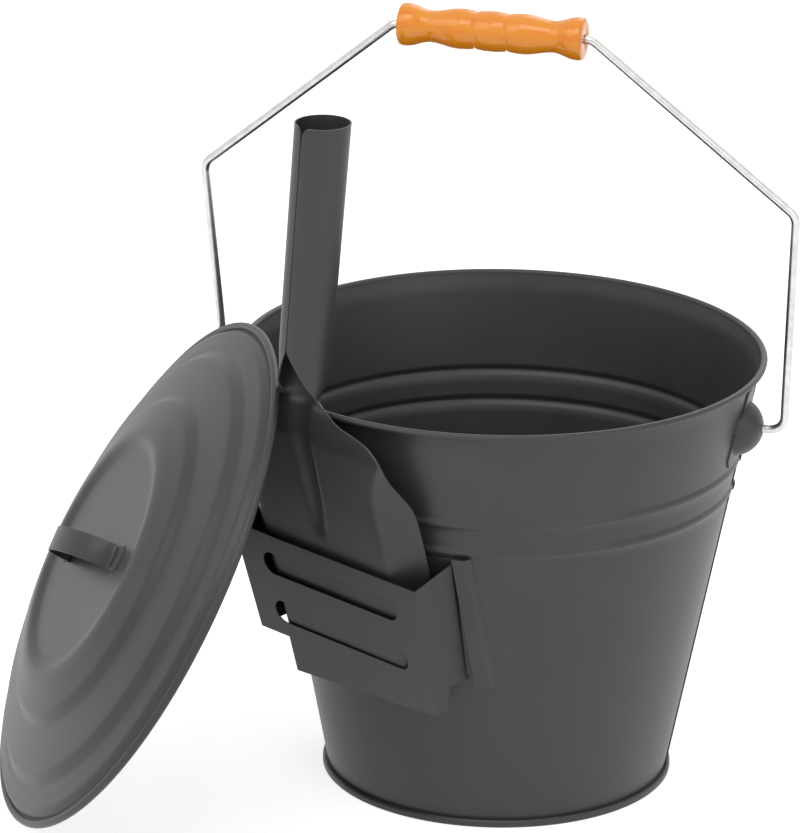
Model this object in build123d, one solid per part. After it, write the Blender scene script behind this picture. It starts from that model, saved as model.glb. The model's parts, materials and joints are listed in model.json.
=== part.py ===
from build123d import *
import math
import os

# Ash bucket of painted sheet steel with a wire bail, a turned wooden grip, a loose stepped
# lid that leans on its left side, and a shovel standing in a slotted pocket at the front left.
# Millimetres. Z is up from the floor, X runs from the left ear to the right ear, and the
# origin is the middle of the base. The pocket faces the angle POCKET_ANGLE about Z.

SHEET = 0.8
SKIN_GAP = 0.1

# Bucket shell
HEIGHT = 260.0
BASE_RADIUS = 100.2
WALL_SLOPE = 0.195
RIM_ROLL = 2.0
RIM_WIRE = 1.2
RIM_RING_RADIUS = 152.9
RIDGE_HEIGHTS = (182.0, 200.0)
RIDGE_RELIEF = 1.4
RIDGE_HALF = 3.0
RIDGE_TOP_HALF = 1.3
FOOT_HEIGHT = 4.4
FOOT_WIDTH = 3.5
FOOT_CHAMFER = 0.8
BOTTOM_RISE = 3.4
SEAM_ANGLE = 9.8
SEAM_SPAN = 2.2
SEAM_THICK = 0.9

# Ears and bail
PIVOT_DROP = 33.0
PIVOT_HEIGHT = HEIGHT - PIVOT_DROP
EAR_THICK = 1.0
EAR_TOP = HEIGHT - 9.0
EAR_BOTTOM = PIVOT_HEIGHT - 21.0
EAR_TOP_HALF = 8.0
EAR_BOTTOM_HALF = 19.0
DOME_RADIUS = 17.5
DOME_REACH = 157.0
BAIL_WIRE = 5.0
PIN_CLEARANCE = 0.3
BAIL_LEAN = 8.3
BAIL_FOOT_HALF = 169.2
BAIL_SHOULDER_HALF = 176.3
BAIL_SHOULDER_RISE = 137.5
BAIL_TOP_RISE = 236.5
BAIL_BEND = 9.0
PIN_END = 149.5
PIN_HEAD_RADIUS = 4.2
PIN_HEAD_LENGTH = 1.6
GRIP_LENGTH = 108.4
GRIP_END_RADIUS = 12.4
GRIP_WAIST_RADIUS = 9.7
GRIP_BULGE_RADIUS = 11.6
GRIP_GROOVE_RADIUS = 10.6
GRIP_GROOVE_OFFSET = 9.5
GRIP_CLEARANCE = 0.3

# Lid, its edge on the floor and its upper edge against the bail's left leg
LID_RADIUS = 160.0
LID_ROLL = 2.5
LID_WIRE = 1.6
LID_SHOULDER_RADIUS = 151.0
LID_SHOULDER_RISE = 5.5
LID_STEP_RADII = (137.0, 104.0)
LID_STEP_RISES = (8.2, 19.2)
LID_STEP_HEIGHT = 5.2
LID_STEP_RUN = 6.0
LID_CROWN_RADIUS = 76.0
LID_CROWN_RISE = 30.2
LID_PANEL_RADIUS = 66.0
LID_PANEL_RISE = 27.6
LID_LEAN = 28.9
LID_TURN = 207.8
LID_SHIFT = 15.6
LID_GAP = 0.3
STRAP_WIDTH = 15.0
STRAP_THICK = 1.2
STRAP_HALF = 38.0
STRAP_FOOT = 10.5
STRAP_RISE = 23.0
STRAP_TAB = 5.0
STRAP_GAP = 0.2
STRAP_TURN = 18.5

# Shovel pocket and the bracket that it slides into
POCKET_ANGLE = -121.0
PLATE_REACH = 94.15
PLATE_SLOPE = 0.29
PLATE_TOP = 165.6
PLATE_BOTTOM = 96.5
PLATE_TOP_HALF = 77.5
PLATE_BOTTOM_HALF = 74.1
POCKET_BACK_TOP = 176.5
POCKET_BACK_BOTTOM = 103.0
POCKET_DEPTH = 62.0
FLAP_BOTTOM = 73.6
FLAP_LEFT = 50.0
FLAP_RIGHT = 58.0
FLAP_RISE = 6.4
TAB_BOTTOM = 86.0
TAB_DEPTH = 11.0
WALL_GAP = 0.1
SLOT_HALF = 56.5
SLOT_HEIGHT = 14.5
SLOT_LEVELS = (113.5, 146.0)
BRACKET_TOP = 178.6
BRACKET_BOTTOM = 95.0
BRACKET_HALF = 85.0
CHANNEL_LIP = 6.5
CHANNEL_ROOM = 2.4
FLANGE_HALF = 83.4
FLANGE_GAP = 0.3

# Shovel, one folded sheet: a tube rolled at the top, a neck, and a blade with bent-back sides
SHOVEL_SHEET = 0.9
TUBE_TOP = 425.4
TUBE_FOOT = 296.0
TUBE_AXIS_FOOT = 155.6
TUBE_LEAN = 0.095
TUBE_TOP_RADIUS = 15.8
TUBE_FOOT_RADIUS = 14.9
TUBE_SLIT_ANGLE = 3.9
NECK_REACH = 159.8
KINK_HEIGHT = 242.0
BLADE_GAP = 0.75
BLADE_LEAN = 2.0
BLADE_TIP = 100.0
BLADE_SIDE_BEND = 36.0
SECTION_STEPS = 6

# Where the tube opens: drop below its foot, half width, way out of its back, sweep from the back
OPENING = (
    (9.0, 14.9, 0.8, 156.0),
    (17.0, 14.9, 3.3, 137.0),
    (22.0, 14.8, 6.3, 121.0),
    (26.0, 14.3, 9.3, 97.0),
    (30.0, 13.9, 12.0, 71.0),
)

# Neck and blade: rise over the tip, groove's half width and depth, floor's half width, bent side
BLADE = (
    (162.0, 12.6, 3.8, 22.5, 0.5),
    (157.5, 12.6, 3.8, 29.0, 0.5),
    (155.2, 12.4, 3.8, 36.0, 0.6),
    (153.6, 12.3, 3.8, 45.0, 0.7),
    (150.6, 12.1, 3.7, 55.0, 0.9),
    (147.0, 12.0, 3.6, 60.0, 1.2),
    (142.0, 11.8, 3.6, 65.0, 2.0),
    (134.0, 11.5, 3.6, 60.0, 6.5),
    (127.0, 11.2, 3.6, 56.0, 11.5),
    (119.0, 10.8, 3.6, 53.0, 19.0),
    (112.0, 10.5, 3.5, 51.0, 24.5),
    (96.0, 9.4, 2.8, 51.0, 25.5),
    (84.0, 8.4, 1.7, 52.0, 25.0),
    (77.0, 7.0, 0.05, 52.0, 25.0),
    (50.0, 7.0, 0.05, 51.0, 23.0),
    (25.0, 7.0, 0.05, 50.0, 14.0),
    (7.0, 7.0, 0.05, 49.0, 8.0),
    (0.0, 7.0, 0.05, 46.0, 5.0),
)


def wall_radius(height):
    """Outer radius of the bucket's plain wall at a height."""
    return BASE_RADIUS + WALL_SLOPE * height


def blend(start, end, share):
    """Number between two others."""
    return start + (end - start) * share


def ribbon_points(points, thickness):
    """Corners of a strip of even thickness along a line of (x, y) points."""
    left = []
    right = []
    last = len(points) - 1
    for index, (x, y) in enumerate(points):
        before = points[max(index - 1, 0)]
        after = points[min(index + 1, last)]
        back = (x - before[0], y - before[1])
        ahead = (after[0] - x, after[1] - y)
        back_length = math.hypot(*back) or 1.0
        ahead_length = math.hypot(*ahead) or 1.0
        if index == 0:
            back, back_length = ahead, ahead_length
        if index == last:
            ahead, ahead_length = back, back_length
        nx = -(back[1] / back_length + ahead[1] / ahead_length)
        ny = back[0] / back_length + ahead[0] / ahead_length
        size = math.hypot(nx, ny)
        half_turn = size / 2.0
        reach = thickness / 2.0 / max(half_turn, 0.5)
        left.append((x + nx / size * reach, y + ny / size * reach))
        right.append((x - nx / size * reach, y - ny / size * reach))
    return left + right[::-1]


def face_of(points, plane=Plane.XY):
    """Flat face with straight sides on a plane."""
    corners = [plane.from_local_coords(Vector(x, y, 0)) for x, y in points]
    return Face(Wire.make_polygon(corners, close=True))


def turned(points):
    """Solid of revolution about Z from (radius, height) corners."""
    return revolve(face_of(points, Plane.XZ), axis=Axis.Z)


def ring_of(radius, height, thickness):
    """Wire ring about Z."""
    return Pos(0, 0, height) * Torus(radius, thickness)


def wall_line(low, high, offset):
    """Line of (radius, height) points along the wall, over its ridges."""
    points = [(wall_radius(low) + offset, low)]
    for level in RIDGE_HEIGHTS:
        steps = ((-RIDGE_HALF, 0.0), (-RIDGE_TOP_HALF, RIDGE_RELIEF), (RIDGE_TOP_HALF, RIDGE_RELIEF), (RIDGE_HALF, 0.0))
        for step, relief in steps:
            height = level + step
            if low < height < high:
                points.append((wall_radius(height) + offset + relief, height))
    points.append((wall_radius(high) + offset, high))
    return points


def wall_skin(low, high, inside, outside):
    """Shell on the wall between two offsets from its outer face."""
    inner = wall_line(low, high, inside)
    outer = wall_line(low, high, outside)
    return turned(inner + outer[::-1])


def pocket_frame(shape):
    """Move a shape built about +Y to the side that the pocket faces."""
    return Rot(0, 0, POCKET_ANGLE - 90.0) * shape


def block(x_range, y_range, z_range):
    """Box between limits."""
    sizes = [high - low for low, high in (x_range, y_range, z_range)]
    middles = [(high + low) / 2.0 for low, high in (x_range, y_range, z_range)]
    return Pos(*middles) * Box(*sizes)


def make_wall():
    """Conical wall with two pressed ridges and a rim rolled round a wire."""
    roll_level = HEIGHT - RIM_ROLL
    neck = roll_level - RIM_ROLL
    outer = wall_line(0.4, neck, 0.0)
    inner = wall_line(0.4, neck, -SHEET)
    outer.append((RIM_RING_RADIUS - 0.8 * RIM_ROLL, roll_level - 0.3 * RIM_ROLL))
    inner.append((RIM_RING_RADIUS - 0.94 * RIM_ROLL, roll_level + 0.3 * RIM_ROLL))
    shell = turned(inner + outer[::-1])
    roll = ring_of(RIM_RING_RADIUS, roll_level, RIM_ROLL)
    core = ring_of(RIM_RING_RADIUS, roll_level, RIM_WIRE)
    return (shell + roll) - core


def make_rim_wire():
    """Stiffening wire inside the rolled rim."""
    return ring_of(RIM_RING_RADIUS, HEIGHT - RIM_ROLL, RIM_WIRE)


def make_foot_ring():
    """Rolled ring round the foot of the wall, flat underneath."""
    inner = wall_radius(0.0) + SKIN_GAP
    outer = inner + FOOT_WIDTH
    points = [
        (inner, 0.0),
        (outer - FOOT_CHAMFER, 0.0),
        (outer, FOOT_CHAMFER),
        (outer, FOOT_HEIGHT - FOOT_CHAMFER),
        (outer - FOOT_CHAMFER, FOOT_HEIGHT),
        (wall_radius(FOOT_HEIGHT) + SKIN_GAP, FOOT_HEIGHT),
    ]
    return turned(points)


def make_bottom():
    """Flat bottom with a turned-down edge inside the wall."""
    top = BOTTOM_RISE + SHEET
    edge_low = 0.5
    inner_low = wall_radius(edge_low) - SHEET - 2.0 * SKIN_GAP
    inner_top = wall_radius(top) - SHEET - 2.0 * SKIN_GAP
    points = [
        (0.0, BOTTOM_RISE),
        (inner_low - SHEET, BOTTOM_RISE),
        (inner_low - SHEET, edge_low),
        (inner_low, edge_low),
        (inner_top, top),
        (0.0, top),
    ]
    return turned(points)


def make_side_seam():
    """Folded seam that stands proud of the wall from foot to rim."""
    low = FOOT_HEIGHT + SKIN_GAP
    high = HEIGHT - 2.0 * RIM_ROLL - 1.5
    inner = wall_line(low, high, 0.0)
    outer = wall_line(low, high, SEAM_THICK)
    face = face_of(inner + outer[::-1], Plane.XZ)
    seam = revolve(face, axis=Axis.Z, revolution_arc=SEAM_SPAN)
    return Rot(0, 0, SEAM_ANGLE - SEAM_SPAN / 2.0) * seam


def make_ear():
    """Ear on the +X side: a tongue-shaped plate with a pressed hollow dome."""
    middle = (EAR_TOP + EAR_BOTTOM) / 2.0
    outline = [
        (-EAR_TOP_HALF, EAR_TOP),
        (-EAR_TOP_HALF * 1.4, PIVOT_HEIGHT + 14.0),
        (-EAR_BOTTOM_HALF * 0.93, middle - 3.0),
        (-EAR_BOTTOM_HALF, EAR_BOTTOM + 5.0),
        (-EAR_BOTTOM_HALF + 4.0, EAR_BOTTOM),
        (EAR_BOTTOM_HALF - 4.0, EAR_BOTTOM),
        (EAR_BOTTOM_HALF, EAR_BOTTOM + 5.0),
        (EAR_BOTTOM_HALF * 0.93, middle - 3.0),
        (EAR_TOP_HALF * 1.4, PIVOT_HEIGHT + 14.0),
        (EAR_TOP_HALF, EAR_TOP),
    ]
    tongue = extrude(face_of(outline, Plane.YZ), amount=HEIGHT)
    plate = wall_skin(EAR_BOTTOM, EAR_TOP, 0.0, EAR_THICK) & tongue
    centre = Pos(DOME_REACH - DOME_RADIUS, 0, PIVOT_HEIGHT)
    outer = centre * Sphere(DOME_RADIUS)
    inner = centre * Sphere(DOME_RADIUS - EAR_THICK)
    core = turned([(0, 0), (wall_radius(0.0), 0), (wall_radius(HEIGHT), HEIGHT), (0, HEIGHT)])
    dome = (outer - core) - inner
    hole_radius = BAIL_WIRE / 2.0 + PIN_CLEARANCE
    hole = Pos(DOME_REACH, 0, PIVOT_HEIGHT) * Rot(0, 90, 0) * Cylinder(hole_radius, 20.0)
    return ((plate - inner) + dome) - hole


def make_bail():
    """Bent wire bail, built upright and leaned to its rest angle."""
    points = [
        (-PIN_END, 0, 0),
        (-BAIL_FOOT_HALF, 0, 0),
        (-BAIL_SHOULDER_HALF, 0, BAIL_SHOULDER_RISE),
        (-GRIP_LENGTH / 2.0 - 4.0, 0, BAIL_TOP_RISE),
        (GRIP_LENGTH / 2.0 + 4.0, 0, BAIL_TOP_RISE),
        (BAIL_SHOULDER_HALF, 0, BAIL_SHOULDER_RISE),
        (BAIL_FOOT_HALF, 0, 0),
        (PIN_END, 0, 0),
    ]
    path = FilletPolyline(*points, radius=BAIL_BEND)
    start = Plane(origin=points[0], z_dir=(-1, 0, 0))
    wire = sweep(start * Circle(BAIL_WIRE / 2.0), path=path)
    for side in (-1, 1):
        place = Pos(side * (PIN_END - PIN_HEAD_LENGTH / 2.0), 0, 0) * Rot(0, 90, 0)
        wire = wire + place * Cylinder(PIN_HEAD_RADIUS, PIN_HEAD_LENGTH)
    return lean_bail(wire)


def lean_bail(shape):
    """Lean a shape built about the pivot and lift it to the pivot."""
    return Pos(0, 0, PIVOT_HEIGHT) * Rot(BAIL_LEAN, 0, 0) * shape


def make_grip():
    """Turned wooden grip on the top run of the bail."""
    half = GRIP_LENGTH / 2.0
    bore = BAIL_WIRE / 2.0 + GRIP_CLEARANCE
    right = [
        (GRIP_BULGE_RADIUS, 0.0),
        (GRIP_BULGE_RADIUS, GRIP_GROOVE_OFFSET - 3.0),
        (GRIP_GROOVE_RADIUS, GRIP_GROOVE_OFFSET),
        (GRIP_BULGE_RADIUS, GRIP_GROOVE_OFFSET + 3.0),
        (GRIP_BULGE_RADIUS - 0.3, GRIP_GROOVE_OFFSET + 8.0),
        (GRIP_WAIST_RADIUS + 0.6, half * 0.48),
        (GRIP_WAIST_RADIUS, half * 0.60),
        (GRIP_WAIST_RADIUS + 0.6, half * 0.70),
        (GRIP_END_RADIUS - 0.5, half * 0.82),
        (GRIP_END_RADIUS, half * 0.90),
        (GRIP_END_RADIUS, half - 2.0),
        (GRIP_END_RADIUS - 1.5, half),
    ]
    left = [(radius, -along) for radius, along in right[:0:-1]]
    outline = [(bore, -half)] + left + right + [(bore, half)]
    grip = Rot(0, 90, 0) * turned(outline)
    return lean_bail(Pos(0, 0, BAIL_TOP_RISE) * grip)


def lid_line():
    """Half section of the lid's sheet as (radius, rise) points, edge to middle."""
    points = [
        (LID_RADIUS - 2.0 * LID_ROLL + 0.5, 0.4),
        (LID_SHOULDER_RADIUS + 2.6, LID_SHOULDER_RISE - 3.4),
        (LID_SHOULDER_RADIUS, LID_SHOULDER_RISE),
        (LID_SHOULDER_RADIUS - 5.0, LID_SHOULDER_RISE + 1.2),
    ]
    for radius, rise in zip(LID_STEP_RADII, LID_STEP_RISES):
        points.append((radius, rise))
        points.append((radius - LID_STEP_RUN * 0.5, rise + LID_STEP_HEIGHT * 0.5))
        points.append((radius - LID_STEP_RUN, rise + LID_STEP_HEIGHT))
        points.append((radius - LID_STEP_RUN * 1.8, rise + LID_STEP_HEIGHT + 1.0))
    points.append((LID_CROWN_RADIUS + 4.0, LID_CROWN_RISE - 0.6))
    points.append((LID_CROWN_RADIUS, LID_CROWN_RISE))
    points.append((LID_CROWN_RADIUS - 4.0, LID_CROWN_RISE - 0.4))
    points.append((LID_PANEL_RADIUS + 2.0, LID_PANEL_RISE + 0.4))
    points.append((LID_PANEL_RADIUS - 2.0, LID_PANEL_RISE))
    points.append((0.0, LID_PANEL_RISE))
    return points


def lid_plane(offset):
    """Plane of the lid's rolled edge with its middle at a distance from the bucket's axis."""
    turn = math.radians(LID_TURN)
    lean = math.radians(LID_LEAN)
    outward = Vector(math.cos(turn), math.sin(turn), 0)
    across = Vector(-math.sin(turn), math.cos(turn), 0)
    normal = outward * math.cos(lean) + Vector(0, 0, math.sin(lean))
    level = (LID_RADIUS - LID_ROLL) * math.cos(lean) + LID_ROLL
    centre = outward * offset + across * LID_SHIFT + Vector(0, 0, level)
    return Plane(origin=centre, x_dir=across, z_dir=normal)


def leg_clearance(plane):
    """Least gap between the lid's rolled edge and the straight part of the bail's left leg."""
    low = (-BAIL_FOOT_HALF, 0.0)
    high = (-BAIL_SHOULDER_HALF, BAIL_SHOULDER_RISE)
    lean = math.radians(BAIL_LEAN)
    least = 1000.0
    for step in range(401):
        share = step / 400
        across = blend(low[0], high[0], share)
        rise = blend(low[1], high[1], share)
        point = Vector(across, -rise * math.sin(lean), PIVOT_HEIGHT + rise * math.cos(lean))
        local = plane.to_local_coords(point)
        radius = math.hypot(local.X, local.Y)
        gap = math.hypot(radius - (LID_RADIUS - LID_ROLL), local.Z) - LID_ROLL - BAIL_WIRE / 2.0
        least = min(least, gap)
    return min(least, dome_clearance(plane))


def dome_clearance(plane):
    """Gap between the left ear's dome and the lid, which is behind or beside the rolled edge."""
    local = plane.to_local_coords(Vector(DOME_RADIUS - DOME_REACH, 0, PIVOT_HEIGHT))
    ring = LID_RADIUS - LID_ROLL
    radius = math.hypot(local.X, local.Y)
    behind = -local.Z - DOME_RADIUS
    if radius < ring:
        return behind
    beside = math.hypot(radius - ring, local.Z) - LID_ROLL - DOME_RADIUS
    return max(behind, beside)


def lid_place():
    """Plane of the lid where its edge stands on the floor and just clears the bail's leg."""
    near = BASE_RADIUS
    far = 2.0 * LID_RADIUS
    for _ in range(40):
        middle = (near + far) / 2.0
        if leg_clearance(lid_plane(middle)) > LID_GAP and middle > RIM_RING_RADIUS:
            far = middle
        else:
            near = middle
    return lid_plane(far)


def make_lid():
    """Pressed lid with a rolled edge and two slots for the strap."""
    shell = turned(ribbon_points(lid_line(), SHEET))
    ring = LID_RADIUS - LID_ROLL
    lid = (shell + Torus(ring, LID_ROLL)) - Torus(ring, LID_WIRE)
    for side in (-1, 1):
        slot = Box(STRAP_THICK + 2.0 * STRAP_GAP, STRAP_WIDTH + 2.0 * STRAP_GAP, 6.0)
        place = Pos(side * (STRAP_HALF + STRAP_FOOT), 0, LID_PANEL_RISE)
        lid = lid - Rot(0, 0, STRAP_TURN) * place * slot
    return lid_place() * lid


def make_lid_wire():
    """Wire inside the lid's rolled edge."""
    return lid_place() * Torus(LID_RADIUS - LID_ROLL, LID_WIRE)


def make_strap():
    """Arched strap handle with flat feet, its ends pushed through slots and folded under."""
    under = LID_PANEL_RISE - SHEET / 2.0 - STRAP_THICK / 2.0 - SKIN_GAP
    over = LID_PANEL_RISE + SHEET / 2.0 + STRAP_THICK / 2.0 + SKIN_GAP
    end = STRAP_HALF + STRAP_FOOT
    left = [(-end + STRAP_TAB, under), (-end, under), (-end, over), (-STRAP_HALF - STRAP_THICK, over)]
    arch = []
    count = 12
    for step in range(1, count):
        angle = math.pi * step / count
        arch.append((-STRAP_HALF * math.cos(angle), over + STRAP_RISE * math.sin(angle)))
    line = left + arch + [(-along, rise) for along, rise in left[::-1]]
    face = face_of(ribbon_points(line, STRAP_THICK), Plane.XZ)
    strap = extrude(face, amount=STRAP_WIDTH / 2.0, both=True)
    return lid_place() * Rot(0, 0, STRAP_TURN) * strap


def make_bracket():
    """Curved bracket plate on the wall with a folded channel at each side."""
    full = (-BRACKET_HALF, BRACKET_HALF)
    levels = (BRACKET_BOTTOM - 1.0, BRACKET_TOP + 1.0)
    front = (BASE_RADIUS / 2.0, HEIGHT)
    plate = wall_skin(BRACKET_BOTTOM, BRACKET_TOP, 0.0, SHEET) & block(full, front, levels)
    lip_low = SHEET + CHANNEL_ROOM
    lip_high = lip_low + SHEET
    for side in (-1, 1):
        lip_range = sorted((side * (BRACKET_HALF - CHANNEL_LIP), side * BRACKET_HALF))
        web_range = sorted((side * (BRACKET_HALF - SHEET), side * BRACKET_HALF))
        lip = wall_skin(BRACKET_BOTTOM, BRACKET_TOP, lip_low, lip_high)
        web = wall_skin(BRACKET_BOTTOM, BRACKET_TOP, SHEET / 2.0, lip_high)
        plate = plate + (lip & block(lip_range, front, levels))
        plate = plate + (web & block(web_range, front, levels))
    return pocket_frame(plate)


def plate_reach(height, depth=0.0):
    """Distance of the pocket's front face from the bucket's axis, less a depth square to it."""
    return PLATE_REACH + PLATE_SLOPE * height - depth * math.hypot(1.0, PLATE_SLOPE)


def plate_half(height):
    """Half width of the pocket at a height."""
    share = (height - PLATE_BOTTOM) / (PLATE_TOP - PLATE_BOTTOM)
    return blend(PLATE_BOTTOM_HALF, PLATE_TOP_HALF, share)


def pocket_wedge(depth, low, high):
    """Solid wedge behind the pocket's front face, drawn in by a depth on three sides."""
    section = [
        (POCKET_DEPTH, low),
        (plate_reach(low, depth), low),
        (plate_reach(high, depth), high),
        (POCKET_DEPTH, high),
    ]
    side = extrude(face_of(section, Plane.YZ), amount=2.0 * PLATE_TOP_HALF, both=True)
    outline = [
        (-plate_half(low) + depth, low),
        (plate_half(low) - depth, low),
        (plate_half(high) - depth, high),
        (-plate_half(high) + depth, high),
    ]
    front = extrude(face_of(outline, Plane.XZ), amount=-2.0 * HEIGHT)
    return side & front


def pocket_hem():
    """Solid under the pocket's lower edge, which climbs to the right and round the corner."""
    wide = 2.0 * PLATE_BOTTOM_HALF
    outline = [
        (-wide, 0.0),
        (-wide, TAB_BOTTOM - 2.0),
        (-PLATE_BOTTOM_HALF, TAB_BOTTOM - 2.0),
        (-PLATE_BOTTOM_HALF + 6.0, FLAP_BOTTOM + FLAP_RISE + 1.0),
        (-FLAP_RIGHT, FLAP_BOTTOM + FLAP_RISE),
        (FLAP_LEFT, FLAP_BOTTOM),
        (FLAP_LEFT, PLATE_BOTTOM),
        (wide, PLATE_BOTTOM),
        (wide, 0.0),
    ]
    under = extrude(face_of(outline, Plane.XZ), amount=2.0 * HEIGHT, both=True)
    return under & block((-wide, wide), (POCKET_DEPTH, 2.0 * HEIGHT), (0.0, HEIGHT))


def make_pocket():
    """Slotted shovel pocket whose side flanges stand in the bracket's channels."""
    low = FLAP_BOTTOM - 4.0
    high = POCKET_BACK_TOP + 14.0
    room = pocket_wedge(SHEET, low - 10.0, high + 10.0)
    shell = pocket_wedge(0.0, low, high) - room
    tab_reach = plate_reach(PLATE_BOTTOM) - TAB_DEPTH
    profile = [
        (plate_reach(PLATE_TOP) + 1.0, PLATE_TOP),
        (plate_reach(PLATE_TOP), PLATE_TOP),
        (POCKET_DEPTH, POCKET_BACK_TOP + 18.0),
        (POCKET_DEPTH, POCKET_BACK_BOTTOM),
        (tab_reach - 1.0, PLATE_BOTTOM + 2.0),
        (tab_reach, TAB_BOTTOM),
        (tab_reach + 0.4 * TAB_DEPTH, FLAP_BOTTOM),
        (plate_reach(PLATE_TOP) + 1.0, FLAP_BOTTOM),
    ]
    shell = shell & extrude(face_of(profile, Plane.YZ), amount=2.0 * PLATE_TOP_HALF, both=True)
    core_offset = SHEET + FLANGE_GAP
    step_low = BRACKET_BOTTOM - 3.0
    step_high = BRACKET_BOTTOM - 1.0
    core = turned([
        (0, 0),
        (wall_radius(0.0) + WALL_GAP, 0),
        (wall_radius(step_low) + WALL_GAP, step_low),
        (wall_radius(step_high) + core_offset, step_high),
        (wall_radius(HEIGHT) + core_offset, HEIGHT),
        (0, HEIGHT),
    ])
    shell = (shell - core) - pocket_hem()
    for side in (-1, 1):
        flange_range = sorted((side * (PLATE_BOTTOM_HALF - SHEET), side * FLANGE_HALF))
        levels = (POCKET_BACK_BOTTOM, BRACKET_TOP - 2.0)
        flange = wall_skin(levels[0], levels[1], core_offset, core_offset + SHEET)
        shell = shell + (flange & block(flange_range, (BASE_RADIUS / 2.0, HEIGHT), (low, HEIGHT)))
    shell = shell - room
    for level in SLOT_LEVELS:
        slot = SlotOverall(2.0 * SLOT_HALF, SLOT_HEIGHT)
        cutter = extrude(Plane.XZ * slot, amount=-2.0 * HEIGHT)
        reach = block((-HEIGHT, HEIGHT), (BASE_RADIUS, HEIGHT), (0.0, HEIGHT))
        shell = shell - (Pos(0, 0, level) * cutter & reach)
    return pocket_frame(shell)


def floor_reach(height):
    """Distance of the middle of the blade's floor from the bucket's axis."""
    share = (min(height, PLATE_TOP) - BLADE_TIP) / (PLATE_TOP - BLADE_TIP)
    depth = SHEET + BLADE_GAP + BLADE_LEAN * share
    if height <= PLATE_TOP:
        return plate_reach(height, depth)
    share = (height - PLATE_TOP) / (KINK_HEIGHT - PLATE_TOP)
    return blend(plate_reach(PLATE_TOP, depth), NECK_REACH, min(share, 1.0))


def tube_half(radius, sweep_angle, back, front):
    """Half of a tube section from its back to its edge, with a lip along the edge's tangent."""
    deep = (front - back) / 2.0
    points = []
    for step in range(SECTION_STEPS + 1):
        angle = math.radians(sweep_angle) * step / SECTION_STEPS
        points.append((radius * math.sin(angle), back + deep * (1.0 - math.cos(angle))))
    edge_x, edge_y = points[-1]
    tangent = math.radians(sweep_angle)
    for reach in (0.4, 0.8):
        points.append((edge_x + reach * math.cos(tangent), edge_y + reach * math.sin(tangent)))
    return points


def blade_half(height, radius, groove, floor_half, side):
    """Half of a blade section: a groove, a flat floor and a side bent back to the bucket."""
    reach = floor_reach(height)
    points = []
    for step in range(SECTION_STEPS + 1):
        share = step / SECTION_STEPS
        swell = (1.0 - math.cos(math.pi * share)) / 2.0
        points.append((radius * share, reach - groove * (1.0 - swell)))
    bend = math.radians(BLADE_SIDE_BEND)
    points.append((floor_half, reach))
    points.append((floor_half + side * math.cos(bend), reach - side * math.sin(bend)))
    return points


def shovel_wire(height, half):
    """Outline of the shovel's sheet at a height, from half of its middle line."""
    line = [(-x, y) for x, y in half[:0:-1]] + half
    plane = Plane(origin=(0, 0, height), x_dir=(1, 0, 0), z_dir=(0, 0, 1))
    return face_of(ribbon_points(line, SHOVEL_SHEET), plane).outer_wire()


def make_shovel():
    """One-piece shovel: rolled tube, opening neck, grooved blade."""
    closed = 180.0 - TUBE_SLIT_ANGLE
    axis_top = TUBE_AXIS_FOOT - TUBE_LEAN * (TUBE_TOP - TUBE_FOOT)
    back = TUBE_AXIS_FOOT - TUBE_FOOT_RADIUS
    front = TUBE_AXIS_FOOT + TUBE_FOOT_RADIUS
    wires = []
    for rise, radius, groove, floor_half, side in BLADE[::-1]:
        height = BLADE_TIP + rise
        wires.append(shovel_wire(height, blade_half(height, radius, groove, floor_half, side)))
    for drop, radius, way, angle in OPENING[::-1]:
        wires.append(shovel_wire(TUBE_FOOT - drop, tube_half(radius, angle, back + way, front)))
    wires.append(shovel_wire(TUBE_FOOT, tube_half(TUBE_FOOT_RADIUS, closed, back, front)))
    top = tube_half(TUBE_TOP_RADIUS, closed, axis_top - TUBE_TOP_RADIUS, axis_top + TUBE_TOP_RADIUS)
    wires.append(shovel_wire(TUBE_TOP, top))
    return pocket_frame(Solid.make_loft(wires, ruled=True))


def main():
    """Write every piece to its own file."""
    os.makedirs("parts", exist_ok=True)
    ear = make_ear()
    pieces = {
        "bucket_wall": make_wall(),
        "rim_wire": make_rim_wire(),
        "foot_ring": make_foot_ring(),
        "bucket_bottom": make_bottom(),
        "side_seam": make_side_seam(),
        "ear_right": ear,
        "ear_left": Rot(0, 0, 180) * ear,
        "bail_wire": make_bail(),
        "bail_grip": make_grip(),
        "lid_pan": make_lid(),
        "lid_edge_wire": make_lid_wire(),
        "lid_strap": make_strap(),
        "pocket_bracket": make_bracket(),
        "shovel_pocket": make_pocket(),
        "ash_shovel": make_shovel(),
    }
    for name, piece in pieces.items():
        export_step(piece, f"parts/{name}.step")
    place = lid_place()
    print("lid centre", place.origin, "lid normal", place.z_dir)


main()
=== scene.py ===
import json
import logging
import math
from dataclasses import dataclass, field
from enum import Enum

import bpy
import numpy as np
from mathutils import Matrix, Vector


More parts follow.
